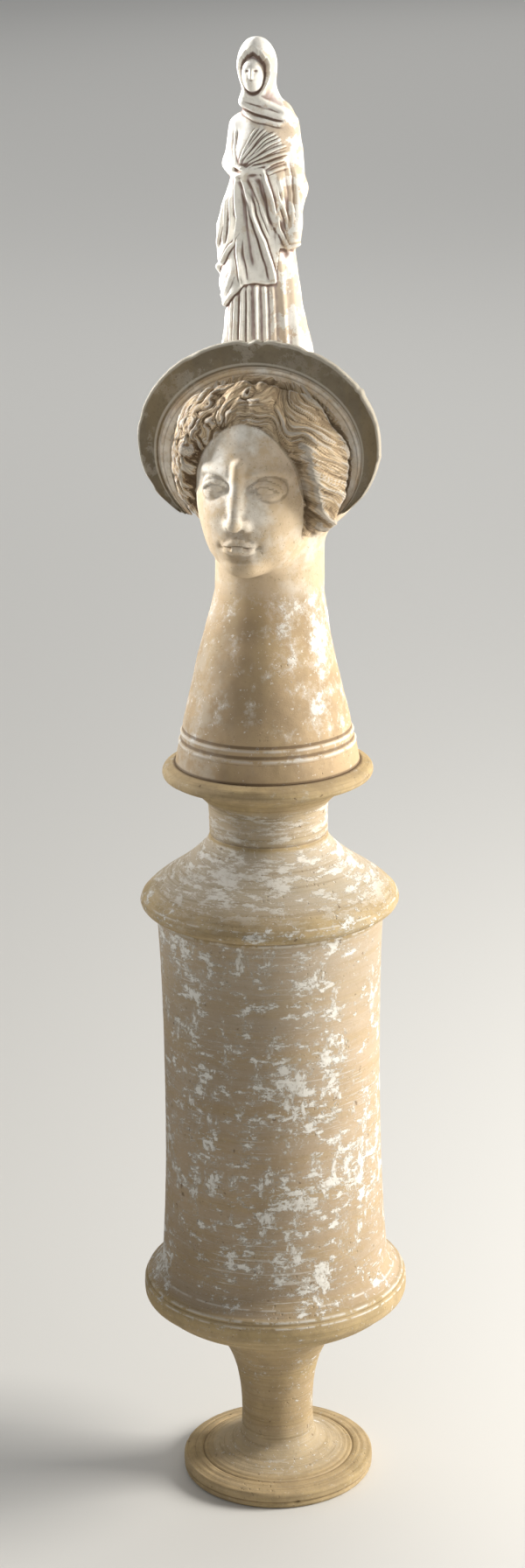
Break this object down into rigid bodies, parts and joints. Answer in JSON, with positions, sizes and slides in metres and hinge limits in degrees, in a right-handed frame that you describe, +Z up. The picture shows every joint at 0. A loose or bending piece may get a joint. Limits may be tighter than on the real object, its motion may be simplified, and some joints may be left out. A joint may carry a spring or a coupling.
{
  "type": "funerary figural vase",
  "caption": "tall fired-clay funerary vase: slender jar on a pedestal foot, closed by a hollow woman's head with a disc diadem and a standing draped figure",
  "frame": {"origin": "middle of the standing ring under the foot, on the surface it stands on", "axes": "+Z up along the jar's axis, the head faces -Y, +X to the right of someone looking at its face"},
  "size_m": [0.1652, 0.1652, 0.8963],
  "materials": {
    "buff_clay": "matt fired buff clay with a worn white slip",
    "pink_clay": "matt fired pinkish clay with a worn white slip",
    "white_slip": "matt white slip over fired clay"
  },
  "bodies": {
    "root": {"jar": "buff_clay", "head_lid": "pink_clay", "veiled_figure": "white_slip"}
  },
  "joints": []
}
